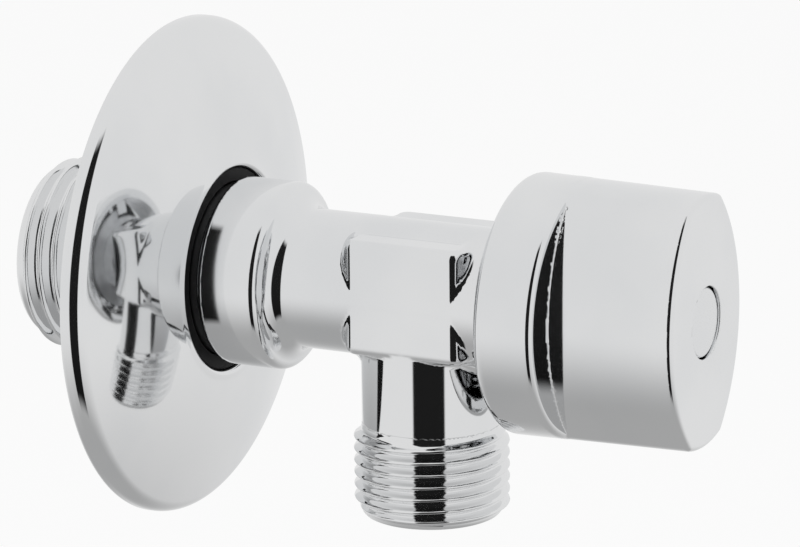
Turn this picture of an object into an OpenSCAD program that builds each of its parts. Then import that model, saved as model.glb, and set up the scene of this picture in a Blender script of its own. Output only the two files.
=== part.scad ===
// Angle ball valve with a wall plate and a coaxial knob, millimetres.
// X runs out of the wall along the inlet, the body and the stem. Z is up and the outlet points down.
// The origin is on the inlet axis, in the plane of the finished wall. The valve is drawn open.

/* [Wall plate] */
// Outer diameter of the pressed plate
plate_d = 54; // [50:0.5:70]
// Distance from the wall to the plate's front at its hole
plate_rise = 6.6; // [5.6:0.1:9]
// Radius of the dished front face
plate_dome_r = 70.5; // [64:0.5:120]
// Radius of the rounded shoulder between rim and face
plate_shoulder_r = 1.9; // [1.2:0.1:2.2]
// Thickness of the sheet
plate_t = 0.8; // [0.5:0.1:1]
// Diameter of the hole for the valve
plate_hole_d = 22.1; // [21.8:0.1:24]
// Depth of the neck drawn inwards round the hole
plate_neck_l = 2; // [1.6:0.1:2.4]

/* [Plate ring] */
// How far the ring's nose lies behind the plate's front
ring_inset = 0.45; // [0.3:0.05:0.8]
// Thickness of the flange behind the plate
ring_flange_t = 1.3; // [0.8:0.1:1.6]
// Height of the flange above the sleeve
ring_flange_h = 1.5; // [0.9:0.1:2.5]
// Radial clearance between ring and body
ring_gap = 0.05; // [0.02:0.01:0.1]

/* [Body outside] */
// Diameter of the tube between collar, block and knob
tube_d = 15; // [14.8:0.1:17]
// Diameter of the collar in front of the plate
collar_d = 20.3; // [19.4:0.1:21.4]
// Length of the collar
collar_l = 6.9; // [5:0.1:8]
// Rounding of the collar's front edge
collar_edge_r = 0.9; // [0.4:0.1:1.2]
// Rounding of the collar's back edge
collar_back_r = 0.5; // [0.3:0.1:0.8]
// Radius of the cove between collar and tube
cove_r = 2.4; // [1.8:0.1:2.8]
// Space between the plate's front and the collar
collar_gap = 0.7; // [0.5:0.1:1.5]
// Diameter of the neck that carries the plate ring
neck_d = 18.8; // [17:0.1:19.2]
// Distance from the wall to the outlet's axis
outlet_at = 30; // [30:0.5:36]
// Width across the two spanner flats
block_w = 15; // [14.8:0.1:17]
// Length of the block along the body
block_l = 14; // [12:0.5:15]
// Height of the block above the body's axis
block_up = 6.6; // [6:0.1:7]
// Depth of the block below the body's axis
block_down = 5.9; // [5.4:0.1:6.4]
// Rounding of the block's upright edges
block_edge_r = 1.5; // [0.8:0.1:2]
// Rounding of the block's long edges
block_long_r = 1; // [0.6:0.1:1.6]
// Radius of the fillet in the angle between tube and outlet
angle_fillet_r = 1.4; // [0.8:0.1:2]

/* [Inlet thread] */
// Major diameter of the pipe thread, size one half
inlet_major_d = 20.955; // [20.955:0.001:20.955]
// Root diameter of the pipe thread
inlet_root_d = 18.631; // [18.631:0.001:18.631]
// Pitch of the pipe thread
inlet_pitch = 1.814; // [1.814:0.001:1.814]
// Number of ridges
inlet_ridges = 6; // [5:1:8]
// Distance behind the wall at which the thread begins
inlet_start = 3.5; // [3.5:0.1:6]
// Bore of the inlet's mouth
inlet_mouth_d = 14; // [12.4:0.1:15]
// Depth of the inlet's mouth
inlet_mouth_l = 9; // [5:0.5:11]

/* [Outlet] */
// Diameter of the plain part of the outlet
outlet_d = 14.9; // [14.9:0.05:15]
// Distance from the body's axis to the outlet's end
outlet_l = 24.3; // [24:0.1:28]
// Major diameter of the pipe thread, size three eighths
outlet_major_d = 16.662; // [16.662:0.001:16.662]
// Root diameter of the pipe thread
outlet_root_d = 14.95; // [14.95:0.001:14.95]
// Pitch of the pipe thread
outlet_pitch = 1.337; // [1.337:0.001:1.337]
// Number of ridges
outlet_ridges = 7; // [6:1:8]
// Height of the bevel at the outlet's end
outlet_bevel = 0.55; // [0.4:0.05:0.8]
// Diameter of the bore that takes the pipe
pipe_bore_d = 10.1; // [10:0.1:10.6]
// Depth to which the pipe goes in
pipe_depth = 11.3; // [9:0.1:12]
// Width of the cone at the bore's mouth
mouth_cone = 1.5; // [1:0.1:1.6]
// Bore between the pipe socket and the seat
outlet_way_d = 7.2; // [6:0.1:7.4]

/* [Ball and seats] */
// Diameter of the ball
ball_d = 11.2; // [11:0.1:11.4]
// Diameter of the two ports in the ball
port_d = 6; // [5:0.1:6.2]
// Clearance between the ball and the seats
ball_gap = 0.1; // [0.05:0.01:0.15]
// Clearance between the ball and its chamber
chamber_gap = 0.15; // [0.1:0.01:0.2]
// Outer diameter of both seats
seat_d = 8.6; // [8.2:0.1:8.7]
// Distance from the ball's centre to the face of a seat
seat_face = 4.4; // [4.4:0.05:4.6]
// Thickness of a seat
seat_t = 2.4; // [2:0.1:2.6]
// Clearance round a seat
seat_gap = 0.05; // [0.02:0.01:0.08]
// Section of the ring that presses the outlet seat
seat_ring_s = 0.75; // [0.6:0.05:0.8]
// Length of the screwed retainer behind the inlet seat
retainer_l = 8; // [6:0.5:10]
// Width across the retainer's hexagon socket
retainer_key = 7; // [6.4:0.1:7.4]
// Depth of the retainer's hexagon socket
retainer_key_l = 3; // [2:0.5:4]

/* [Stem] */
// Diameter of the stem
stem_d = 7; // [6.6:0.1:7.1]
// Radial clearance of the stem in the body
stem_gap = 0.05; // [0.02:0.01:0.1]
// Thickness of the tang that turns the ball
tang_t = 2.6; // [2:0.1:3]
// Depth of the slot in the ball
slot_l = 1.75; // [1.4:0.05:1.9]
// Section of the two sealing rings
ring_s = 1; // [0.8:0.05:1.1]
// Distance between the two sealing rings
ring_pitch = 2.1; // [1.9:0.1:2.3]
// Diameter of the stem's flange
flange_d = 9.4; // [9:0.1:9.5]
// Thickness of the stem's flange
flange_t = 1.3; // [1:0.1:1.5]
// Distance from the outlet's axis to the stem's flange
flange_at = 11; // [10.8:0.1:11.2]
// Thickness of the thrust washer
thrust_t = 0.8; // [0.5:0.1:1]
// Width across the stem's driving flats
drive_w = 5.6; // [5:0.1:5.8]

/* [Gland and stop] */
// Diameter of the gland nut's thread
gland_d = 10.4; // [10:0.1:10.6]
// Width across the gland nut's hexagon
gland_key = 12; // [11:0.1:12.2]
// Height of the gland nut's hexagon
gland_key_l = 2.5; // [2:0.1:2.8]
// Length from the thrust washer to the body's front end
gland_l = 4.4; // [4.2:0.1:4.8]
// Section of the ring under the gland nut's head
gland_ring_s = 0.8; // [0.6:0.05:0.9]
// Diameter of the body's front end
front_d = 13.8; // [13.4:0.1:14]
// Width across the flats of the body's front end
front_w = 12.6; // [12.2:0.1:13]
// Diameter at the bottom of the clip's groove
clip_groove_d = 12.4; // [12:0.1:12.6]
// Thickness of the clip
clip_t = 0.8; // [0.6:0.1:1]
// Outer diameter of the clip
clip_d = 16; // [15:0.1:16.4]
// Thickness of the stop disc
stop_t = 1.6; // [1.2:0.1:1.8]
// Diameter of the stop disc inside its quarter gap
stop_inner_d = 16.8; // [16.4:0.1:17.2]
// Diameter of the stop disc outside its quarter gap
stop_outer_d = 20.6; // [19.6:0.1:21.4]
// Width of the knob's stop rib
stop_rib_w = 3; // [2:0.1:3.4]
// Clearance between the rib and the stop disc
stop_gap = 0.15; // [0.1:0.05:0.3]

/* [Knob] */
// Distance from the outlet's axis to the knob's back
knob_at = 11; // [10.6:0.1:11.6]
// Length of the knob
knob_l = 20.7; // [20.4:0.1:24]
// Diameter of the knob at its back
knob_back_d = 27.8; // [27.2:0.1:31]
// Diameter of the knob at its front
knob_front_d = 27; // [26.4:0.1:31]
// Length of the round part behind the grip
knob_round_l = 6.9; // [6.4:0.1:7.4]
// Width of the grip across its two sides
grip_w = 18.8; // [18.2:0.1:21]
// Radius of the grip's two sides
grip_side_r = 18.3; // [16:0.1:24]
// Rounding of the knob's back edge
knob_back_r = 1.2; // [0.6:0.1:1.4]
// Rounding of the knob's front edge
knob_front_r = 0.6; // [0.4:0.1:1]
// Rounding of the step in front of the round part
knob_step_r = 0.75; // [0.4:0.05:1]
// Wall of the knob
knob_wall = 2; // [1.6:0.1:2.1]
// Thickness of the knob's front
knob_face_t = 2.5; // [2:0.1:3]
// Diameter of the hub
hub_d = 12; // [10.6:0.1:12.6]
// Free space between the gland nut and the hub
hub_gap = 0.8; // [0.4:0.1:1.2]
// Thickness of the ribs between hub and wall
hub_rib_t = 1.6; // [1:0.1:2]
// Diameter of the hole for the index cap
cap_hole_d = 7.65; // [7.4:0.05:8]
// Depth of the hole for the index cap
cap_hole_l = 3.7; // [3.6:0.1:4]
// Clearance between the index cap and its hole
cap_gap = 0.12; // [0.08:0.01:0.2]
// Depth of the index cap's face below the knob's
cap_inset = 0.25; // [0.1:0.05:0.4]
// Thickness of the index cap
cap_t = 1.3; // [1:0.1:1.4]

/* [Knob screw] */
// Diameter of the screw
screw_d = 4; // [3.5:0.1:4]
// Length of the screw under its head
screw_l = 8; // [6:0.5:9]
// Diameter of the screw's head
screw_head_d = 6.8; // [6.2:0.1:7]
// Height of the screw's head
screw_head_h = 1.5; // [1.2:0.1:1.6]
// Thickness of the washer under the head
washer_t = 0.5; // [0.3:0.1:0.6]
// Clearance of the screw in its holes
screw_gap = 0.03; // [0.02:0.01:0.05]

/* [Hidden] */
$fn = 96;
eps = 0.02;

// Places along the body, from the wall outwards
thread_end = -inlet_start;
inlet_end = thread_end - inlet_ridges * inlet_pitch - 1;
neck_back = thread_end + 0.5;
collar_back = plate_rise + collar_gap;
collar_front = collar_back + collar_l;
chamber_r = ball_d / 2 + chamber_gap;
stem_bore_r = stem_d / 2 + stem_gap;
stem_back = outlet_at + ball_d / 2 - slot_l + 0.1;
shaft_back = outlet_at + chamber_r + 0.15;
flange_back = outlet_at + flange_at;
flange_front = flange_back + flange_t;
ring_groove_w = ring_s + 0.4;
ring_outer_x = flange_back - 0.8 - ring_groove_w / 2;
ring_inner_x = ring_outer_x - ring_pitch;
thrust_front = flange_front + thrust_t;
body_front = thrust_front + gland_l;
gland_front = body_front + gland_key_l;
knob_back = outlet_at + knob_at;
knob_front = knob_back + knob_l;
knob_step = knob_back + knob_round_l;
cavity_step = knob_step - knob_wall;
cavity_front = knob_front - knob_face_t;
hub_back = gland_front + hub_gap;
cap_hole_floor = knob_front - cap_hole_l;
socket_end = cap_hole_floor - 1.4;
stem_front = socket_end - 0.1;
washer_front = cap_hole_floor + washer_t;
head_front = washer_front + screw_head_h;
cap_front = knob_front - cap_inset;

// The stop disc and its clip sit between the body's shoulder and the clip's groove
stop_back = knob_back + 2.2;
stop_front = stop_back + stop_t;
clip_back = stop_front + 0.1;
clip_front = clip_back + clip_t;

// Circles that round the plate's shoulder and dish its face
dome_x = plate_rise - sqrt(pow(plate_dome_r, 2) - pow(plate_hole_d / 2, 2));
shoulder_y = plate_d / 2 - plate_shoulder_r;
shoulder_x = dome_x + sqrt(pow(plate_dome_r - plate_shoulder_r, 2) - pow(shoulder_y, 2));
ring_nose_x = plate_rise - ring_inset;
plate_neck_back = plate_rise - plate_neck_l;
grip_side_y = grip_side_r - grip_w / 2;
knob_inner_r = knob_front_d / 2 - knob_wall;

// A profile of radius and place along the body, turned about the body's axis
module turned() {
    rotate([0, 90, 0]) rotate_extrude() children();
}

// A profile of radius and depth, turned about the outlet's axis and running down
module turned_down() {
    translate([outlet_at, 0, 0]) mirror([0, 0, 1]) rotate_extrude() children();
}

// A rectangle of a turned profile, from place a to place b and radius r0 to r1
module band(a, b, r0, r1) {
    translate([r0, a]) square([r1 - r0, b - a]);
}

// What a rounding of radius f takes from the corner at radius r and place x
// The solid lies on the side of the corner away from the directions sr and sx
module corner(r, x, f, sr = 1, sx = 1) {
    difference() {
        translate([r - (sr > 0 ? f : eps), x - (sx > 0 ? f : eps)]) square(f + eps);
        translate([r - sr * f, x - sx * f]) circle(f);
    }
}

// Ridges of a pipe thread with flat crests, as a turned profile that starts at place a
module ridges(a, count, pitch, major_r, root_r) {
    for (i = [0 : count - 1]) {
        m = a + (i + 0.5) * pitch;
        polygon([
            [root_r - 0.2, m - pitch * 0.43], [root_r, m - pitch * 0.43], [major_r, m - pitch * 0.1],
            [major_r, m + pitch * 0.1], [root_r, m + pitch * 0.43], [root_r - 0.2, m + pitch * 0.43]
        ]);
    }
}

// A rectangle with round corners, centred along its first side
module round_rectangle(w, low, high, r) {
    translate([-w / 2, low + r]) square([w, high - low - 2 * r]);
    translate([-w / 2 + r, low]) square([w - 2 * r, high - low]);
    for (s = [-1, 1], z = [low + r, high - r]) translate([s * (w / 2 - r), z]) circle(r);
}

// A ring of round section about the body's axis
module seal(x, inner_r, section) {
    turned() translate([inner_r + section / 2, x]) circle(section / 2);
}

// Neck, collar with its cove, tube and front end, as one turned profile
module body_profile() {
    tube_r = tube_d / 2;
    collar_r = collar_d / 2;
    rise = collar_r - collar_edge_r - tube_r;
    run = sqrt(pow(cove_r, 2) - pow(cove_r - rise, 2));
    band(inlet_end, neck_back, 0, inlet_root_d / 2);
    ridges(inlet_end + 1, inlet_ridges, inlet_pitch, inlet_major_d / 2, inlet_root_d / 2);
    band(neck_back - 0.5, collar_back + 1, 0, neck_d / 2);
    difference() {
        band(collar_back, collar_front, 0, collar_r);
        corner(collar_r, collar_front, collar_edge_r);
        corner(collar_r, collar_back, collar_back_r, 1, -1);
    }
    difference() {
        band(collar_front - eps, collar_front + run, 0, tube_r + rise);
        translate([tube_r + cove_r, collar_front + run]) circle(cove_r);
    }
    band(collar_front, stop_back, 0, tube_r);
    difference() {
        band(stop_back - 1, body_front, 0, front_d / 2);
        band(clip_back - 0.05, clip_front + 0.05, clip_groove_d / 2, front_d);
        corner(front_d / 2, body_front, 0.5);
    }
}

// Outlet branch with its thread and bevel, as one turned profile
module outlet_profile() {
    band(0, outlet_l - outlet_ridges * outlet_pitch - outlet_bevel, 0, outlet_d / 2);
    difference() {
        union() {
            band(1, outlet_l, 0, outlet_root_d / 2 - 0.1);
            intersection() {
                band(1, outlet_l - outlet_bevel, 0, outlet_root_d / 2);
                band(outlet_l - outlet_ridges * outlet_pitch - outlet_bevel - 0.5, outlet_l, 0, outlet_d);
            }
            ridges(outlet_l - outlet_ridges * outlet_pitch - outlet_bevel, outlet_ridges, outlet_pitch,
                outlet_major_d / 2, outlet_root_d / 2);
        }
        translate([outlet_root_d / 2, outlet_l]) rotate(45) square(outlet_bevel * 0.8, center = true);
    }
}

// Forged block round the ball, with two spanner flats
module block() {
    translate([outlet_at, 0, 0]) intersection() {
        translate([0, 0, -block_down]) linear_extrude(block_down + block_up)
            round_rectangle(block_l, -block_w / 2, block_w / 2, block_edge_r);
        rotate([90, 0, 90]) translate([0, 0, -block_l / 2]) linear_extrude(block_l)
            round_rectangle(block_w, -block_down, block_up, block_long_r);
    }
}

// Hollow-edged disc that fills the angle between tube and outlet on one side
module angle_fillet(side) {
    reach = tube_d / 2 + angle_fillet_r - 0.05;
    disc_r = reach / sqrt(2);
    half = angle_fillet_r * 0.6;
    translate([outlet_at, 0, 0]) rotate([0, side * 45, 0]) translate([-side * (reach * sqrt(2) - disc_r), 0, 0])
        rotate(90) rotate_extrude() difference() {
            translate([0, -half]) square([disc_r, 2 * half]);
            translate([disc_r, 0]) circle(angle_fillet_r);
        }
}

// Inlet mouth, ball chamber, stem bore and gland thread
module long_bores() {
    turned() {
        band(inlet_end - 1, inlet_end + inlet_mouth_l, 0, inlet_mouth_d / 2);
        band(inlet_end, outlet_at, 0, chamber_r);
        band(outlet_at, flange_back, 0, stem_bore_r);
        band(flange_back - 0.05, thrust_front, 0, flange_d / 2 + 0.1);
        band(thrust_front - eps, body_front + 1, 0, gland_d / 2);
    }
}

// Cone at the mouth of the pipe's bore
module outlet_mouth() {
    mouth_r = pipe_bore_d / 2 + mouth_cone;
    turned_down() polygon([
        [0, outlet_l - mouth_cone], [pipe_bore_d / 2, outlet_l - mouth_cone], [mouth_r, outlet_l],
        [mouth_r, outlet_l + 1], [0, outlet_l + 1]
    ]);
}

// Outside of the body: what is turned about its two axes, and the forged block
module body_outside() {
    turned() body_profile();
    turned_down() outlet_profile();
    block();
}

// Forged and turned brass body, chromed
module body() {
    color("silver") difference() {
        union() {
            body_outside();
            for (side = [-1, 1]) angle_fillet(side);
        }
        long_bores();
        translate([outlet_at, 0, 0]) sphere(chamber_r);
        turned_down() band(0, seat_face + seat_t + seat_ring_s, 0, seat_d / 2 + seat_gap);
        turned_down() band(0, outlet_l, 0, outlet_way_d / 2);
        turned_down() band(outlet_l - pipe_depth, outlet_l + 1, 0, pipe_bore_d / 2);
        outlet_mouth();
        for (s = [-1, 1]) translate([stop_back, s * (front_w / 2 + 5) - 5, -10])
            cube([body_front - stop_back + 1, 10, 20]);
    }
}

// Solid under the plate's face, moved inwards by o
module plate_section(o) {
    tangent = shoulder_y * (plate_dome_r - o) / (plate_dome_r - plate_shoulder_r);
    intersection() {
        translate([0, dome_x]) circle(plate_dome_r - o, $fn = 720);
        band(-1, 20, 0, tangent);
    }
    band(-1, shoulder_x, 0, plate_d / 2 - o);
    translate([shoulder_y, shoulder_x]) circle(plate_shoulder_r - o);
}

// Pressed plate that covers the hole in the wall
module wall_plate() {
    hole_r = plate_hole_d / 2;
    color("gainsboro") turned() difference() {
        union() {
            difference() {
                plate_section(0);
                plate_section(plate_t);
            }
            intersection() {
                plate_section(0);
                band(plate_neck_back, 20, hole_r, hole_r + plate_t);
            }
        }
        band(-2, 20, 0, hole_r);
        band(-2, 0, 0, plate_d);
        corner(hole_r, plate_rise, 0.6, -1, 1);
    }
}

// Rubber ring that holds the plate on the body's neck
module plate_ring() {
    inner_r = neck_d / 2 + ring_gap;
    outer_r = plate_hole_d / 2;
    color("black") turned() difference() {
        union() {
            band(plate_neck_back - ring_flange_t, ring_nose_x, inner_r, outer_r);
            band(plate_neck_back - ring_flange_t, plate_neck_back, inner_r, outer_r + ring_flange_h);
        }
        corner(outer_r, ring_nose_x, 0.3);
        corner(inner_r, ring_nose_x, 0.3, -1, 1);
        corner(outer_r + ring_flange_h, plate_neck_back, 0.4);
        corner(outer_r + ring_flange_h, plate_neck_back - ring_flange_t, 0.4, 1, -1);
    }
}

// Screwed sleeve that holds the inlet seat against the ball
module inlet_retainer() {
    seat_back = outlet_at - seat_face - seat_t;
    front = outlet_at - seat_face - 1;
    color("goldenrod") difference() {
        turned() difference() {
            band(seat_back - retainer_l, front, port_d / 2, chamber_r - 0.05);
            band(seat_back, front + 1, 0, seat_d / 2 + seat_gap);
            corner(chamber_r - 0.05, front, 0.4);
            corner(chamber_r - 0.05, seat_back - retainer_l, 0.4, 1, -1);
        }
        translate([seat_back - retainer_l - 1, 0, 0]) rotate([0, 90, 0])
            cylinder(h = retainer_key_l + 1, d = retainer_key / cos(30), $fn = 6);
    }
}

// Ring with a hollow ball-shaped face, at depth a from the ball's centre
module seat_profile() {
    difference() {
        band(seat_face, seat_face + seat_t, port_d / 2, seat_d / 2);
        circle(ball_d / 2 + ball_gap);
    }
}

// Inlet seat, facing outwards
module inlet_seat() {
    color("white") translate([outlet_at, 0, 0]) rotate([0, -90, 0]) rotate_extrude() seat_profile();
}

// Outlet seat, facing up
module outlet_seat() {
    color("white") turned_down() seat_profile();
}

// Sealing ring that presses the outlet seat against the ball
module outlet_seat_ring() {
    color("dimgray") turned_down()
        translate([seat_d / 2 + seat_gap - seat_ring_s / 2, seat_face + seat_t + seat_ring_s / 2])
        circle(seat_ring_s / 2);
}

// Ball with an angled waterway and a slot for the stem
module ball() {
    r = ball_d / 2;
    color("lightgray") translate([outlet_at, 0, 0]) difference() {
        sphere(r);
        sphere(port_d / 2);
        rotate([0, -90, 0]) cylinder(h = r + 1, d = port_d);
        mirror([0, 0, 1]) cylinder(h = r + 1, d = port_d);
        translate([r - slot_l, -tang_t / 2 - 0.1, -r]) cube([slot_l + 1, tang_t + 0.2, 2 * r]);
    }
}

// Stem with its tang, two grooves, a flange and a flatted front end
module stem() {
    r = stem_d / 2;
    tang_w = stem_d - 0.4;
    color("goldenrod") difference() {
        union() {
            turned() difference() {
                band(shaft_back, stem_front, 0, r);
                for (x = [ring_inner_x, ring_outer_x])
                    band(x - ring_groove_w / 2, x + ring_groove_w / 2, r - ring_s, r + 1);
                corner(r, stem_front, 0.4);
            }
            turned() band(flange_back, flange_front, 0, flange_d / 2);
            intersection() {
                turned() band(stem_back, shaft_back + 0.5, 0, tang_w / 2);
                translate([stem_back, -tang_t / 2, -r]) cube([shaft_back - stem_back + 0.5, tang_t, 2 * r]);
            }
        }
        turned() band(stem_front - screw_l - 0.5, stem_front + 1, 0, screw_d / 2 + screw_gap);
        for (s = [-1, 1]) {
            translate([hub_back - 0.3, s * (drive_w / 2 + 5) - 5, -10]) cube([20, 10, 20]);
            translate([hub_back - 0.3, -10, s * (drive_w / 2 + 5) - 5]) cube([20, 20, 10]);
        }
    }
}

// Inner sealing ring of the stem
module stem_ring_inner() {
    color("dimgray") seal(ring_inner_x, stem_d / 2 - ring_s, ring_s);
}

// Outer sealing ring of the stem
module stem_ring_outer() {
    color("dimgray") seal(ring_outer_x, stem_d / 2 - ring_s, ring_s);
}

// Low-friction washer between the stem's flange and the gland nut
module thrust_washer() {
    color("white") turned() band(flange_front, thrust_front, stem_bore_r, flange_d / 2);
}

// Nut that closes the body and carries the stem
module gland_nut() {
    shank_r = gland_d / 2 - 0.05;
    color("goldenrod") difference() {
        union() {
            turned() difference() {
                band(thrust_front, body_front, 0, shank_r);
                band(body_front - gland_ring_s - 0.1, body_front, shank_r - gland_ring_s, shank_r + 1);
            }
            intersection() {
                translate([body_front, 0, 0]) rotate([0, 90, 0])
                    cylinder(h = gland_key_l, d = gland_key / cos(30), $fn = 6);
                turned() difference() {
                    band(body_front, gland_front, 0, gland_key / 2 + 0.7);
                    corner(gland_key / 2 + 0.7, gland_front, 0.6);
                }
            }
        }
        turned() band(thrust_front - 1, gland_front + 1, 0, stem_bore_r);
    }
}

// Sealing ring under the gland nut's head
module gland_ring() {
    shank_r = gland_d / 2 - 0.05;
    color("dimgray") seal(body_front - gland_ring_s / 2 - 0.05, shank_r - gland_ring_s, gland_ring_s);
}

// Disc keyed on the body's front end, with a quarter gap for the knob's rib
module stop_disc() {
    notch = stop_rib_w / 2 + stop_gap;
    color("silver") translate([stop_back, 0, 0]) rotate([90, 0, 90]) linear_extrude(stop_t) difference() {
        circle(d = stop_outer_d);
        difference() {
            translate([-notch, -notch]) square(stop_outer_d);
            circle(d = stop_inner_d);
        }
        intersection() {
            circle(d = front_d + 0.1);
            translate([-front_w / 2 - 0.05, -front_d]) square([front_w + 0.1, 2 * front_d]);
        }
    }
}

// Spring clip in the groove in front of the stop disc
module stop_clip() {
    inner_r = clip_groove_d / 2 + 0.02;
    color("dimgray") translate([clip_back, 0, 0]) rotate([90, 0, 90]) linear_extrude(clip_t) difference() {
        circle(d = clip_d);
        circle(inner_r);
        translate([-clip_groove_d / 2 + 1.8, -clip_d]) square([clip_groove_d - 3.6, clip_d]);
    }
}

// Tapered outside of the knob between two places
module knob_cone(a, b, extra = 0) {
    slope = (knob_back_d - knob_front_d) / 2 / knob_l;
    ra = knob_back_d / 2 - slope * (a - knob_back) + extra;
    rb = knob_back_d / 2 - slope * (b - knob_back) + extra;
    polygon([[0, a], [ra, a], [rb, b], [0, b]]);
}

// Front corner of a turned profile of the grip, rounded
module grip_disc(r) {
    turned() difference() {
        band(cavity_step, knob_front, 0, r);
        corner(r, knob_front, knob_front_r);
    }
}

// Grip with two long curved sides and round ends
module grip() {
    intersection() {
        turned() difference() {
            knob_cone(cavity_step, knob_front);
            corner(knob_front_d / 2, knob_front, knob_front_r);
        }
        translate([0, grip_side_y, 0]) grip_disc(grip_side_r);
        translate([0, -grip_side_y, 0]) grip_disc(grip_side_r);
    }
}

// Round part behind the grip, with its two rounded edges
module knob_round() {
    slope = (knob_back_d - knob_front_d) / 2 / knob_l;
    turned() difference() {
        knob_cone(knob_back, knob_step);
        corner(knob_back_d / 2, knob_back, knob_back_r, 1, -1);
        corner(knob_back_d / 2 - slope * knob_round_l, knob_step, knob_step_r);
    }
}

// Hollow of the knob, round at the back and following the grip in front
module knob_hollow() {
    turned() band(knob_back - 1, cavity_step, 0, knob_back_d / 2 - knob_wall - 0.2);
    difference() {
        intersection() {
            turned() band(cavity_step - eps, cavity_front, 0, knob_inner_r);
            for_sides = grip_side_r - knob_wall;
            translate([0, grip_side_y, 0]) turned() band(cavity_step - 1, cavity_front + 1, 0, for_sides);
            translate([0, -grip_side_y, 0]) turned() band(cavity_step - 1, cavity_front + 1, 0, for_sides);
        }
        turned() band(hub_back, cavity_front + 1, 0, hub_d / 2);
        translate([hub_back, -hub_rib_t / 2, -knob_back_d / 2]) cube([knob_l, hub_rib_t, knob_back_d]);
    }
}

// Cast knob, chromed, with a hub on the stem and a stop rib
module knob() {
    socket_r = stem_d / 2 + 0.05;
    color("silver") {
        difference() {
            union() {
                knob_round();
                grip();
            }
            knob_hollow();
            intersection() {
                turned() band(hub_back - 1, socket_end, 0, socket_r);
                translate([hub_back - 1, -drive_w / 2 - 0.05, -drive_w / 2 - 0.05])
                    cube([socket_end - hub_back + 1, drive_w + 0.1, drive_w + 0.1]);
            }
            turned() {
                band(socket_end - 1, cap_hole_floor + 1, 0, screw_d / 2 + 0.15);
                band(cap_hole_floor, knob_front + 1, 0, cap_hole_d / 2);
            }
        }
        rib_in = stop_inner_d / 2 + 0.4;
        translate([stop_back - 0.3, -stop_rib_w / 2, rib_in])
            cube([cavity_step - stop_back + 0.5, stop_rib_w, knob_back_d / 2 - knob_wall + 0.3 - rib_in]);
    }
}

// Washer under the knob screw's head
module screw_washer() {
    color("silver") turned() band(cap_hole_floor, washer_front, screw_d / 2 + 0.1, screw_head_d / 2 + 0.1);
}

// Screw that draws the knob onto the stem
module knob_screw() {
    color("silver") difference() {
        union() {
            turned() difference() {
                band(washer_front, head_front, 0, screw_head_d / 2);
                corner(screw_head_d / 2, head_front, 0.5);
            }
            turned() difference() {
                band(washer_front - screw_l, washer_front + eps, 0, screw_d / 2);
                corner(screw_d / 2, washer_front - screw_l, 0.4, 1, -1);
            }
        }
        translate([head_front - 1, 0, 0]) rotate([0, 90, 0]) cylinder(h = 2, d = 2.5 / cos(30), $fn = 6);
    }
}

// Cap that closes the screw's hole in the knob's face
module index_cap() {
    r = cap_hole_d / 2 - cap_gap;
    color("silver") turned() difference() {
        band(cap_front - cap_t, cap_front, 0, r);
        corner(r, cap_front, 0.25);
    }
}

body();
wall_plate();
plate_ring();
inlet_retainer();
inlet_seat();
ball();
outlet_seat();
outlet_seat_ring();
stem();
stem_ring_inner();
stem_ring_outer();
thrust_washer();
gland_nut();
gland_ring();
stop_disc();
stop_clip();
knob();
screw_washer();
knob_screw();
index_cap();
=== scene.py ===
import math

import bpy
import numpy as np
from mathutils import Matrix, Vector


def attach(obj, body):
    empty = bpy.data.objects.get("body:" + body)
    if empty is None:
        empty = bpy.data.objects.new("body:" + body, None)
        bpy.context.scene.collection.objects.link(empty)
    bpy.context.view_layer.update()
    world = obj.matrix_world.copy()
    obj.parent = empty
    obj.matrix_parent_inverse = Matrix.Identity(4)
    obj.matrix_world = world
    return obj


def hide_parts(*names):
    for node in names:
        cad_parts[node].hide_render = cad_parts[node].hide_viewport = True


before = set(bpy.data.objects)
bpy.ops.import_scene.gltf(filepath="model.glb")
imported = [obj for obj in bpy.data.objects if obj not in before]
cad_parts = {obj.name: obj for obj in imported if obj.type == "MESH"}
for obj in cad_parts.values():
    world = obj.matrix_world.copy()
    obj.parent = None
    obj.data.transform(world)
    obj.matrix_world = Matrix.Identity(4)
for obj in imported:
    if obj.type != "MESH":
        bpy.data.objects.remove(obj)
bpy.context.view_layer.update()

scene = bpy.context.scene
scene.view_settings.view_transform = "Standard"


# Camera: a long lens that looks at the valve a little from above and from its side, with
# the plate on the left and the knob towards the viewer.
camera_place = Vector((0.272763, -0.508463, 0.151719))
camera_right = Vector((0.90112, 0.43345, -0.01047))
camera_up = Vector((-0.10218, 0.23576, 0.96642))
camera_back = Vector((0.42136, -0.86979, 0.25674))
lens = bpy.data.cameras.new("camera")
lens.sensor_width = 36
lens.lens = 247.5
lens.shift_x = -0.0001
lens.shift_y = -0.0007
lens.clip_start = 0.01
lens.clip_end = 20
camera = bpy.data.objects.new("camera", lens)
scene.collection.objects.link(camera)
camera.matrix_world = Matrix.Translation(camera_place) @ Matrix((
    (camera_right.x, camera_up.x, camera_back.x),
    (camera_right.y, camera_up.y, camera_back.y),
    (camera_right.z, camera_up.z, camera_back.z),
)).to_4x4()
scene.camera = camera


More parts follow.
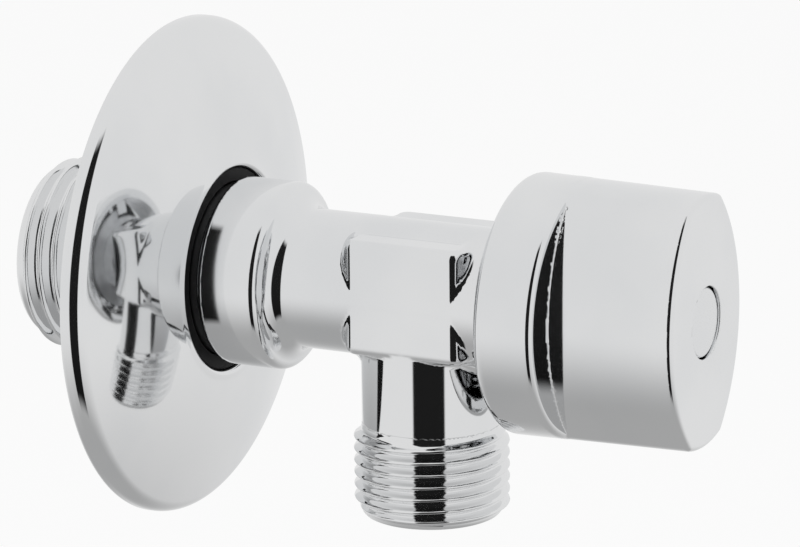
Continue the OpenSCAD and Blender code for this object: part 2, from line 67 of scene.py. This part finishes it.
# Studio: a white light tent round the valve with one upright opening in front of it, where
# the camera stands, and a plain pale floor well below. The opening is dark, and polished
# metal shows it as black bands.
class Wire:
    """A socket of a node tree: sums and products of wires add Math nodes"""

    def __init__(self, socket):
        self.socket = socket

    @staticmethod
    def node(tree, kind, settings=None, inputs=None, output=0):
        made = tree.nodes.new(kind)
        for name, value in (settings or {}).items():
            if name == "stops":
                for i, (place, colour) in enumerate(value):
                    if i > 1:
                        made.color_ramp.elements.new(place)
                    made.color_ramp.elements[i].position = place
                    made.color_ramp.elements[i].color = colour
            else:
                setattr(made, name, value)
        for name, value in (inputs or {}).items():
            if isinstance(value, Wire):
                tree.links.new(value.socket, made.inputs[name])
            else:
                made.inputs[name].default_value = value
        return Wire(made.outputs[output])

    def maths(self, operation, first, second):
        return Wire.node(self.socket.id_data, "ShaderNodeMath", {"operation": operation}, {0: first, 1: second})

    def __add__(self, other):
        return self.maths("ADD", self, other)

    def __radd__(self, other):
        return self.maths("ADD", other, self)

    def __sub__(self, other):
        return self.maths("SUBTRACT", self, other)

    def __rsub__(self, other):
        return self.maths("SUBTRACT", other, self)

    def __mul__(self, other):
        return self.maths("MULTIPLY", self, other)

    def __rmul__(self, other):
        return self.maths("MULTIPLY", other, self)

    def __truediv__(self, other):
        return self.maths("DIVIDE", self, other)

    def at_most(self, other):
        return self.maths("MINIMUM", self, other)

    def at_least(self, other):
        return self.maths("MAXIMUM", self, other)

    def step(self, low, high):
        """0 below low, 1 above high and a smooth rise between them"""
        tree = self.socket.id_data
        return Wire.node(tree, "ShaderNodeMapRange", {"interpolation_type": "SMOOTHSTEP"},
                         {"Value": self, "From Min": low, "From Max": high})


world = bpy.data.worlds.new("light_tent")
scene.world = world
world.use_nodes = True
tent = world.node_tree
tent.nodes.clear()
direction = Wire.node(tent, "ShaderNodeTexCoord", output=0)
parts = tent.nodes.new("ShaderNodeSeparateXYZ")
tent.links.new(direction.socket, parts.inputs[0])
east, north, height = (Wire(s) for s in parts.outputs)
opening_from, opening_to = math.radians(-5), math.radians(47)
opening_low, opening_high = math.radians(-52), math.radians(64)
turn = (0 - north).maths("ARCTAN2", east, 0 - north)
rise = height.maths("ARCSINE", height, 0)
across = turn.step(opening_from - 0.03, opening_from + 0.03) - turn.step(opening_to - 0.03, opening_to + 0.03)
along = rise.step(opening_low - 0.1, opening_low + 0.1) - rise.step(opening_high - 0.1, opening_high + 0.1)
opening = across * along
underside = 1 - rise.step(-1.1, -0.25)
tent_glow = (0.82 - 0.4 * underside) * (1 - 0.985 * opening)
light_path = tent.nodes.new("ShaderNodeLightPath")
seen = Wire(light_path.outputs["Is Camera Ray"])
glossy = Wire(light_path.outputs["Is Glossy Ray"])
through = Wire(light_path.outputs["Is Transmission Ray"])
straight = (seen + through).at_most(1)
glow = straight + (1 - straight) * (glossy * tent_glow + (1 - glossy) * 0.8)
backdrop = Wire.node(tent, "ShaderNodeBackground", None, {"Color": (1, 1, 1, 1), "Strength": glow})
out = tent.nodes.new("ShaderNodeOutputWorld")
tent.links.new(backdrop.socket, out.inputs["Surface"])

floor_mesh = bpy.data.meshes.new("floor")
floor_mesh.from_pydata([(-2, -2, -0.3), (2, -2, -0.3), (2, 2, -0.3), (-2, 2, -0.3)], [], [(0, 1, 2, 3)])
floor = bpy.data.objects.new("floor", floor_mesh)
scene.collection.objects.link(floor)
floor.visible_glossy = False
floor_paper = bpy.data.materials.new("floor_paper")
floor_paper.use_nodes = True
paper = floor_paper.node_tree
paper.nodes.clear()
matt = Wire.node(paper, "ShaderNodeBsdfDiffuse", None, {"Color": (0.9, 0.9, 0.9, 1)})
white = Wire.node(paper, "ShaderNodeEmission", None, {"Color": (1, 1, 1, 1), "Strength": 1})
paper_path = paper.nodes.new("ShaderNodeLightPath")
share = Wire(paper_path.outputs["Is Camera Ray"]) * 0.8
mixed = Wire.node(paper, "ShaderNodeMixShader", None, {0: share, 1: matt, 2: white})
paper_out = paper.nodes.new("ShaderNodeOutputMaterial")
paper.links.new(mixed.socket, paper_out.inputs["Surface"])
floor_mesh.materials.append(floor_paper)

softbox = bpy.data.lights.new("softbox", "AREA")
softbox.shape = "DISK"
softbox.size = 0.8
softbox.energy = 4
softbox_stand = bpy.data.objects.new("softbox", softbox)
scene.collection.objects.link(softbox_stand)
softbox_stand.visible_glossy = False
softbox_stand.location = (-0.1, -0.3, 0.9)
softbox_stand.rotation_euler = (Vector((0.02, 0, 0)) - softbox_stand.location).to_track_quat("-Z", "Y").to_euler()


# Wall plate: a disc of thin sheet, pressed to a shallow dome with a rolled rim and a short
# neck drawn inwards round its hole, then polished and chromed. It slides on the valve's neck.
def turned_skin(spread, radius, centre, downwards):
    """Points, faces and normals of a closed outline turned about the body's or the outlet's axis.
    The radius may change from one turn to the next, as a thread's does."""
    steps, count = radius.shape
    turns = np.linspace(0, 2 * np.pi, steps, endpoint=False)[:, None]
    spread = np.broadcast_to(spread, radius.shape)
    if downwards:
        grid = np.stack([np.cos(turns) * radius, np.sin(turns) * radius, -spread], -1)
    else:
        grid = np.stack([spread, np.cos(turns) * radius, np.sin(turns) * radius], -1)
    grid = (grid + np.array(centre)) / 1000
    round_way = np.roll(grid, -1, 0) - np.roll(grid, 1, 0)
    long_way = np.roll(grid, -1, 1) - np.roll(grid, 1, 1)
    normals = np.cross(round_way, long_way)
    normals /= np.maximum(np.linalg.norm(normals, axis=2), 1e-12)[:, :, None]
    ring = np.arange(steps)[:, None] * count
    next_ring = (np.arange(steps)[:, None] + 1) % steps * count
    spot = np.arange(count)[None, :]
    next_spot = (spot + 1) % count
    faces = np.stack([ring + spot, next_ring + spot, next_ring + next_spot, ring + next_spot], -1).reshape(-1, 4)
    points, normals = grid.reshape(-1, 3), normals.reshape(-1, 3)
    corners = points[faces]
    if np.einsum("ij,ij->", corners[:, 0], np.cross(corners[:, 1], corners[:, 2])) < 0:
        faces, normals = faces[:, ::-1], -normals
    return points, faces, normals


def solid(name, *skins):
    """Object with one smooth mesh of these skins, each its points, faces and normals"""
    points = np.concatenate([s[0] for s in skins])
    normals = np.concatenate([s[2] for s in skins])
    starts = np.cumsum([0] + [len(s[0]) for s in skins])
    faces = np.concatenate([s[1] + start for s, start in zip(skins, starts)])
    mesh = bpy.data.meshes.new(name)
    mesh.from_pydata(points.tolist(), [], faces.tolist())
    mesh.shade_smooth()
    mesh.normals_split_custom_set_from_vertices(normals.tolist())
    piece = bpy.data.objects.new(name, mesh)
    scene.collection.objects.link(piece)
    return piece


def lathe(name, outline, centre=(0, 0, 0), downwards=False, steps=192):
    """Piece turned from a closed outline of (place along the axis, radius)"""
    spread = np.array([p[0] for p in outline])
    radius = np.tile([p[1] for p in outline], (steps, 1))
    return solid(name, turned_skin(spread, radius, centre, downwards))


def arc(centre_x, centre_r, radius, start, end, count=8):
    """Points on a round of the outline, with angles in degrees from the axis' direction towards larger radius"""
    angles = np.radians(np.linspace(start, end, count))
    return [(centre_x + radius * math.cos(a), centre_r + radius * math.sin(a)) for a in angles]


plate_outer_r = 27
plate_face_x = 6.6
plate_hole_r = 11.05
plate_sheet = 0.8
plate_dome_r = 70.5
rim_round = 1.9
dome_x = plate_face_x - math.sqrt(plate_dome_r ** 2 - plate_hole_r ** 2)
rim_centre_r = plate_outer_r - rim_round
rim_centre_x = dome_x + math.sqrt((plate_dome_r - rim_round) ** 2 - rim_centre_r ** 2)
dome_edge = math.degrees(math.atan2(rim_centre_r, rim_centre_x - dome_x))
hole_edge = math.degrees(math.asin((plate_hole_r + 0.55) / plate_dome_r))
inner_edge = math.degrees(math.asin((plate_hole_r + plate_sheet + 0.4) / (plate_dome_r - plate_sheet)))
plate_outline = [(4.75, plate_hole_r), (5.3, plate_hole_r)] + [
    (plate_face_x - 0.56 + 0.55 * math.sin(math.radians(a)), plate_hole_r + 0.55 - 0.55 * math.cos(math.radians(a)))
    for a in range(0, 96, 12)
]
plate_outline += arc(dome_x, 0, plate_dome_r, hole_edge + 0.3, dome_edge, 40)
plate_outline += arc(rim_centre_x, rim_centre_r, rim_round, dome_edge, 90, 18)[1:]
plate_outline += [(rim_centre_x * 0.5, plate_outer_r), (0.25, plate_outer_r), (0.07, plate_outer_r - 0.07),
                  (0, plate_outer_r - 0.25), (0, plate_outer_r - 0.55), (0.07, plate_outer_r - 0.73),
                  (0.25, plate_outer_r - plate_sheet), (rim_centre_x * 0.5, plate_outer_r - plate_sheet)]
plate_outline += arc(rim_centre_x, rim_centre_r, rim_round - plate_sheet, 90, dome_edge, 12)
plate_outline += arc(dome_x, 0, plate_dome_r - plate_sheet, dome_edge, inner_edge, 30)[1:]
plate_outline += [(5.35, plate_hole_r + plate_sheet + 0.1), (5.0, plate_hole_r + plate_sheet),
                  (4.75, plate_hole_r + plate_sheet), (4.6, plate_hole_r + plate_sheet - 0.08),
                  (4.6, plate_hole_r + 0.08)]
plate_pressing = lathe("plate_pressing", plate_outline, steps=288)


def material(name, colour, metallic, roughness, colour_change=None, roughness_change=None, height=None,
             height_size=0.00001, **constants):
    """Material whose colour, roughness and height change by the wires that the three functions return"""
    made = bpy.data.materials.new(name)
    made.use_nodes = True
    tree = made.node_tree
    surface = tree.nodes["Principled BSDF"]
    surface.inputs["Metallic"].default_value = metallic
    for socket, value in constants.items():
        surface.inputs[socket.replace("_", " ")].default_value = value
    place = Wire.node(tree, "ShaderNodeTexCoord", output=3)
    if colour_change is None:
        surface.inputs["Base Color"].default_value = (*colour, 1)
    else:
        amount, other = colour_change(tree, place)
        blend = tree.nodes.new("ShaderNodeMix")
        blend.data_type = "RGBA"
        blend.inputs[6].default_value = (*colour, 1)
        blend.inputs[7].default_value = (*other, 1)
        tree.links.new(amount.socket, blend.inputs[0])
        tree.links.new(blend.outputs[2], surface.inputs["Base Color"])
    if roughness_change is None:
        surface.inputs["Roughness"].default_value = roughness
    else:
        tree.links.new(roughness_change(tree, place, roughness).socket, surface.inputs["Roughness"])
    if height is not None:
        bump = tree.nodes.new("ShaderNodeBump")
        bump.inputs["Strength"].default_value = 1
        bump.inputs["Distance"].default_value = height_size
        tree.links.new(height(tree, place).socket, bump.inputs["Height"])
        tree.links.new(bump.outputs[0], surface.inputs["Normal"])
    return made


def cloud(tree, place, scale, detail=2, stretch=None):
    """Soft noise between 0 and 1 on the object's own coordinates, in waves of 1 / scale metres"""
    if stretch is not None:
        place = Wire.node(tree, "ShaderNodeMapping", None, {"Vector": place, "Scale": stretch})
    return Wire.node(tree, "ShaderNodeTexNoise", None, {"Vector": place, "Scale": scale, "Detail": detail})


def chrome_colour(tree, place):
    return cloud(tree, place, 60, 3).step(0.35, 0.75), (0.80, 0.81, 0.82)


def chrome_roughness(tree, place, roughness):
    return roughness + 0.02 * cloud(tree, place, 220, 4)


def chrome_height(tree, place):
    return cloud(tree, place, 900, 2)


plate_chrome = material("plate_chrome", (0.85, 0.855, 0.86), 1, 0.05, chrome_colour, chrome_roughness,
                        chrome_height, 0.0000003)
plate_pressing.data.materials.append(plate_chrome)
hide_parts("wall_plate")
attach(plate_pressing, "plate")


# Plate ring: a black rubber ring pushed into the plate's hole from behind. Its flange lies
# against the plate's neck and its sleeve grips the valve's neck.
ring_outline = [(3.35, 9.47), (3.3, 9.55), (3.3, 12.2), (3.42, 12.48), (3.7, 12.6), (4.2, 12.6), (4.48, 12.48),
                (4.6, 12.2), (4.6, 11.06), (5.6, 11.03), (5.95, 11.0), (6.1, 10.88), (6.15, 10.7), (6.15, 9.75),
                (6.08, 9.55), (5.9, 9.47)]
plate_grommet = lathe("plate_grommet", ring_outline, steps=144)


def rubber_roughness(tree, place, roughness):
    return roughness + 0.15 * cloud(tree, place, 400, 3)


def rubber_height(tree, place):
    return cloud(tree, place, 3000, 3)


def rubber_colour(tree, place):
    return cloud(tree, place, 500, 3).step(0.45, 0.8), (0.012, 0.012, 0.013)


black_rubber = material("black_rubber", (0.006, 0.006, 0.0065), 0, 0.55, rubber_colour, rubber_roughness,
                        rubber_height, 0.000004, Specular_IOR_Level=0.2)
plate_grommet.data.materials.append(black_rubber)
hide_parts("plate_ring")
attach(plate_grommet, "plate")


# Body: one piece of hot-forged brass, turned, threaded at both ends, polished and chromed.
# Neck, collar and tube share the inlet's axis; a flatted block round the ball carries the outlet.
def soft_cut(a, b, rounding):
    """Distance to what two solids share, with the edge between them rounded"""
    flat = np.minimum(-rounding, np.maximum(a, b))
    return flat + np.hypot(np.maximum(a + rounding, 0), np.maximum(b + rounding, 0))


def soft_join(a, b, rounding):
    """Distance to two solids together, with a fillet in the angle between them"""
    flat = np.maximum(rounding, np.minimum(a, b))
    return flat - np.hypot(np.maximum(rounding - a, 0), np.maximum(rounding - b, 0))


def turned_band(x, r, back, front, radius, back_round, front_round):
    shape = soft_cut(r - radius, x - front, front_round)
    return soft_cut(shape, back - x, back_round)


def skin(distance, low, high, cell):
    """Points, faces and exact normals of the surface at distance 0, on a grid of cells"""
    lines = [np.arange(a - 1.5 * cell, b + 2.5 * cell, cell) for a, b in zip(low, high)]
    shape = tuple(len(line) for line in lines)
    field = distance(lines[0][:, None, None], lines[1][None, :, None], lines[2][None, None, :])
    field = np.ascontiguousarray(np.broadcast_to(field, shape))
    inside = field < 0
    total = np.zeros((field.size, 3))
    hits = np.zeros(field.size)
    quads = []
    strides = np.array([shape[1] * shape[2], shape[2], 1])
    for axis in range(3):
        near = [slice(None)] * 3
        far = [slice(None)] * 3
        near[axis], far[axis] = slice(0, -1), slice(1, None)
        crossing = inside[tuple(near)] != inside[tuple(far)]
        cells = np.argwhere(crossing)
        before = field[tuple(near)][crossing]
        after = field[tuple(far)][crossing]
        point = cells.astype(float)
        point[:, axis] += before / (before - after)
        other, third = (axis + 1) % 3, (axis + 2) % 3
        flat = cells @ strides
        around = [flat, flat - strides[other], flat - strides[other] - strides[third], flat - strides[third]]
        for ids in around:
            for k in range(3):
                total[:, k] += np.bincount(ids, point[:, k], field.size)
            hits += np.bincount(ids, minlength=field.size)
        quad = np.stack(around, -1)
        leaving = before < 0
        quads.append(np.where(leaving[:, None], quad, quad[:, ::-1]))
    used = np.flatnonzero(hits)
    points = total[used] / hits[used, None]
    points = points * cell + np.array([line[0] for line in lines])
    number = np.zeros(field.size, int)
    number[used] = np.arange(len(used))
    faces = number[np.concatenate(quads)]

    def slope(at, reach=0.01):
        parts = []
        for axis in range(3):
            shift = np.zeros(3)
            shift[axis] = reach
            parts.append((distance(*(at + shift).T) - distance(*(at - shift).T)) / (2 * reach))
        return np.stack(parts, -1)

    for _ in range(4):
        gradient = slope(points)
        size = np.maximum((gradient ** 2).sum(1), 0.25)
        move = -distance(*points.T)[:, None] * gradient / size[:, None]
        points = points + np.clip(move, -cell / 2, cell / 2)
    gradient = slope(points)
    normals = gradient / np.maximum(np.linalg.norm(gradient, axis=1), 1e-6)[:, None]
    return points / 1000, faces, normals


outlet_x = 30
tube_r = 7.5
block_half_l = 7
block_top, block_bottom = 6.6, -5.9
branch_r = 7.45
branch_cut = -14.35
stop_shoulder = 43.2
front_end = 47.5


def body_distance(x, y, z):
    r = np.hypot(y, z) + 0 * x
    neck = turned_band(x, r, -3.5, 9, 9.4, 0.25, 0.1)
    collar = turned_band(x, r, 7.3, 14.2, 10.15, 0.5, 0.9)
    tube = turned_band(x, r, 8, stop_shoulder, tube_r, 0.1, 0.2)
    spigot = turned_band(x, r, 40, front_end, 6.9, 0.1, 0.4)
    spigot = soft_cut(spigot, np.abs(y) - np.where(x > stop_shoulder, 6.3, 8), 0.15)
    side = np.hypot(x - outlet_x, y) + 0 * z
    branch = soft_cut(side - branch_r, branch_cut - z, 0.1)
    branch = soft_cut(branch, z + 2, 0.1)
    block = soft_cut(np.abs(x - outlet_x) - block_half_l, np.abs(y) - tube_r, 1.5)
    block = soft_cut(block, np.abs(z - (block_top + block_bottom) / 2) - (block_top - block_bottom) / 2, 1.0)
    # Where two faces lie in one plane there is no angle to fill
    safe_r = np.maximum(r, 0.01)
    facing_side = np.abs(y) / safe_r
    end_share = np.clip((np.abs(x - outlet_x) - (block_half_l - 1.6)) / 1.4, 0, 1)
    fillet = 0.9 * (1 - facing_side ** 6) * end_share + 0.05
    whole = soft_join(tube, block, fillet)
    crotch = np.clip(1 - (np.abs(y) / tube_r) ** 2, 0.02, 1)
    whole = soft_join(whole, branch, 1.3 * crotch)
    whole = soft_join(whole, collar, 2.2)
    whole = soft_join(whole, neck, 0.15)
    whole = np.minimum(whole, spigot)
    ball_room = np.sqrt((x - outlet_x) ** 2 + y ** 2 + z ** 2) - 5.75
    way = np.maximum(r - 5.75, x - outlet_x)
    stem_way = np.maximum(r - 3.55, outlet_x - x)
    flange_way = np.maximum(r - 4.8, 40.95 - x)
    gland_way = np.maximum(r - 5.2, 43.1 - x)
    down_way = np.maximum(side - 3.6, z)
    socket = np.maximum(side - 5.2, z + 13)
    hollow = ball_room
    for part in (way, stem_way, flange_way, gland_way, down_way, socket):
        hollow = np.minimum(hollow, part)
    return soft_cut(whole, -hollow, 0.1)


def thread_depth(phase):
    """Depth below the crest, from 0 to 1, of a pipe thread with rounded crest and root"""
    wave = np.abs((phase % 1) - 0.5) * 2
    wave = (wave - 0.5) * 1.2 + 0.5
    soft = np.clip(wave, 0, 1)
    return 1 - soft * soft * (3 - 2 * soft) * 0.35 - soft * 0.65


def threaded_end(start, end, pitch, crest_r, root_r, crest_at, before, after, centre, downwards):
    """Right-hand thread from start to end along its axis, closed by the outlines before and after it"""
    steps, per_pitch = 144, 12
    along = np.linspace(start, end, int((end - start) / pitch * per_pitch))
    turns = np.linspace(0, 1, steps, endpoint=False)[:, None]
    phase = (along - crest_at) / pitch - (-turns if downwards else turns)
    run_in = np.clip((along - start) / (0.8 * pitch), 0, 1) * np.clip((end - along) / (0.45 * pitch), 0, 1)
    crest = root_r + (crest_r - root_r) * run_in
    radius = crest - (crest - root_r) * thread_depth(phase)
    sides = [np.tile([p[1] for p in outline], (steps, 1)) for outline in (before, after)]
    spread = np.concatenate([[p[0] for p in before], along, [p[0] for p in after]])
    return turned_skin(spread, np.hstack([sides[0], radius, sides[1]]), centre, downwards)


body_forging = solid(
    "body_forging",
    skin(body_distance, (-3.5, -10.2, -14.4), (47.6, 10.2, 10.2), 0.32),
    threaded_end(
        14.6, 23.75, 1.337, 8.331, 7.475, 23.08 + 1.337 * 25.7 / 360,
        [(13.0, 5.05), (12.98, 5.3), (12.98, 7.2), (13.1, 7.35), (14.3, 7.4), (14.4, 7.475)],
        [(23.95, 7.5), (24.2, 7.3), (24.3, 7.1), (24.3, 6.7), (24.25, 6.55), (22.85, 5.12), (22.7, 5.05), (18, 5.05)],
        (outlet_x, 0, 0), True),
    threaded_end(
        -14.9, -3.9, 1.814, 10.4775, 9.3155, -9,
        [(-3.2, 5.8), (-6.38, 5.8), (-6.38, 6.9), (-6.5, 7.0), (-15.1, 7.0), (-15.3, 7.1), (-15.384, 7.3),
         (-15.384, 8.7), (-15.25, 9.0)],
        [(-3.6, 9.3), (-3.25, 9.3), (-3.2, 9.2)],
        (0, 0, 0), False))
body_chrome = material("body_chrome", (0.85, 0.855, 0.86), 1, 0.05, chrome_colour, chrome_roughness,
                       chrome_height, 0.0000003)
body_forging.data.materials.append(body_chrome)
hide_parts("body")
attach(body_forging, "valve_body")


# Knob: a hollow zinc casting, polished and chromed. It is round at the back; in front two
# long curved sides are cut away as a grip. A hub and two ribs inside carry it on the stem.
knob_back_x, knob_step_x, knob_front_x = 41.0, 47.9, 61.7
knob_back_radius = 13.9
knob_taper = 0.4 / 20.7
grip_side_r, grip_side_y = 18.3, 8.9


def knob_distance(x, y, z):
    r = np.hypot(y, z) + 0 * x
    cone = r - (knob_back_radius - knob_taper * (x - knob_back_x))
    round_part = soft_cut(cone, knob_back_x - x, 1.2)
    round_part = soft_cut(round_part, x - knob_step_x, 0.75)
    sides = soft_cut(np.hypot(y - grip_side_y, z) - grip_side_r, np.hypot(y + grip_side_y, z) - grip_side_r, 0.3)
    sides = sides + 0 * x
    grip = soft_cut(sides, cone, 0.3)
    grip = soft_cut(grip, x - knob_front_x, 0.6)
    grip = np.maximum(grip, 45.9 - x)
    whole = soft_join(round_part, grip, 0.15)
    cavity = np.maximum(r - 11.7, x - 45.9)
    inner = np.maximum(np.hypot(y - grip_side_y, z) - (grip_side_r - 2), np.hypot(y + grip_side_y, z) - (grip_side_r - 2))
    inner = np.maximum(inner + 0 * x, r - 11.5)
    inner = np.maximum(inner, x - 59.2)
    hub = np.maximum(r - 6, 50.8 - x)
    rib = np.maximum(np.abs(y) - 0.8, 50.8 - x) + 0 * z
    inner = np.maximum(inner, -np.minimum(hub, rib))
    screw_way = r - 2.15
    cap_way = np.maximum(r - 3.825, 58.0 - x)
    shaft = np.maximum(np.maximum(np.abs(y), np.abs(z)) - 2.85, x - 56.6)
    hollow = np.minimum(np.minimum(cavity, inner), np.minimum(np.minimum(screw_way, cap_way), shaft))
    whole = soft_cut(whole, -hollow, 0.12)
    stop_rib = np.maximum(np.maximum(np.abs(y) - 1.5, np.abs(z - 10.55) - 1.6), np.abs(x - 44.65) - 1.75)
    return np.minimum(whole, stop_rib)


knob_casting = solid("knob_casting", skin(knob_distance, (41.0, -13.9, -13.9), (61.7, 13.9, 13.9), 0.26))
knob_chrome = material("knob_chrome", (0.85, 0.855, 0.86), 1, 0.06, chrome_colour, chrome_roughness,
                       chrome_height, 0.0000003)
knob_casting.data.materials.append(knob_chrome)
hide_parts("knob")
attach(knob_casting, "handle")


# Index cap: a small chromed disc pushed into the hole in the knob's face, over the screw.
cap_r = 3.705
cap_outline = [(60.15, 0.01), (60.15, 0.03), (60.15, 3.55), (60.3, cap_r), (61.2, cap_r)]
cap_outline += arc(61.2, cap_r - 0.25, 0.25, 90, 0, 6)[1:] + [(61.45, 2), (61.45, 0.03), (61.45, 0.01)]
cap_disc = lathe("cap_disc", cap_outline, steps=96)
cap_chrome = material("cap_chrome", (0.83, 0.835, 0.84), 1, 0.12, chrome_colour, chrome_roughness,
                      chrome_height, 0.0000006)
cap_disc.data.materials.append(cap_chrome)
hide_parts("index_cap")
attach(cap_disc, "handle")


# Inner parts: turned brass stem, gland and retainer, drilled and chromed ball, white seats,
# rubber rings, zinc-plated disc, washer and screw, and a dark spring clip.
def lathe_marks(tree, place):
    return cloud(tree, place, 400, 3, (30, 1, 1))


def brass_colour(tree, place):
    return cloud(tree, place, 150, 4).step(0.4, 0.75), (0.66, 0.47, 0.2)


def steel_colour(tree, place):
    return cloud(tree, place, 300, 4).step(0.4, 0.75), (0.5, 0.51, 0.53)


def seat_colour(tree, place):
    return cloud(tree, place, 300, 3).step(0.4, 0.8), (0.8, 0.8, 0.77)


def clip_colour(tree, place):
    return cloud(tree, place, 300, 4).step(0.4, 0.75), (0.05, 0.05, 0.055)


def worn_roughness(tree, place, roughness):
    return roughness + 0.12 * cloud(tree, place, 300, 4)


turned_brass = material("turned_brass", (0.8, 0.6, 0.29), 1, 0.24, brass_colour, worn_roughness, lathe_marks, 0.000004)
hard_chrome = material("hard_chrome", (0.78, 0.785, 0.79), 1, 0.05, chrome_colour, chrome_roughness, chrome_height, 0.0000003)
seat_white = material("seat_white", (0.88, 0.88, 0.86), 0, 0.42, seat_colour, worn_roughness, lathe_marks, 0.000003)
zinc_plate = material("zinc_plate", (0.68, 0.69, 0.7), 1, 0.28, steel_colour, worn_roughness, lathe_marks, 0.000004)
dark_spring = material("dark_spring", (0.09, 0.09, 0.1), 1, 0.35, clip_colour, worn_roughness, lathe_marks, 0.000004)
inner_finish = {
    "inlet_retainer": turned_brass, "stem": turned_brass, "gland_nut": turned_brass, "ball": hard_chrome,
    "inlet_seat": seat_white, "outlet_seat": seat_white, "thrust_washer": seat_white,
    "outlet_seat_ring": black_rubber, "stem_ring_inner": black_rubber, "stem_ring_outer": black_rubber,
    "gland_ring": black_rubber, "stop_disc": zinc_plate, "screw_washer": zinc_plate, "knob_screw": zinc_plate,
    "stop_clip": dark_spring,
}
for node_name, finish in inner_finish.items():
    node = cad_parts[node_name]
    for place in node.material_slots:
        place.material = finish
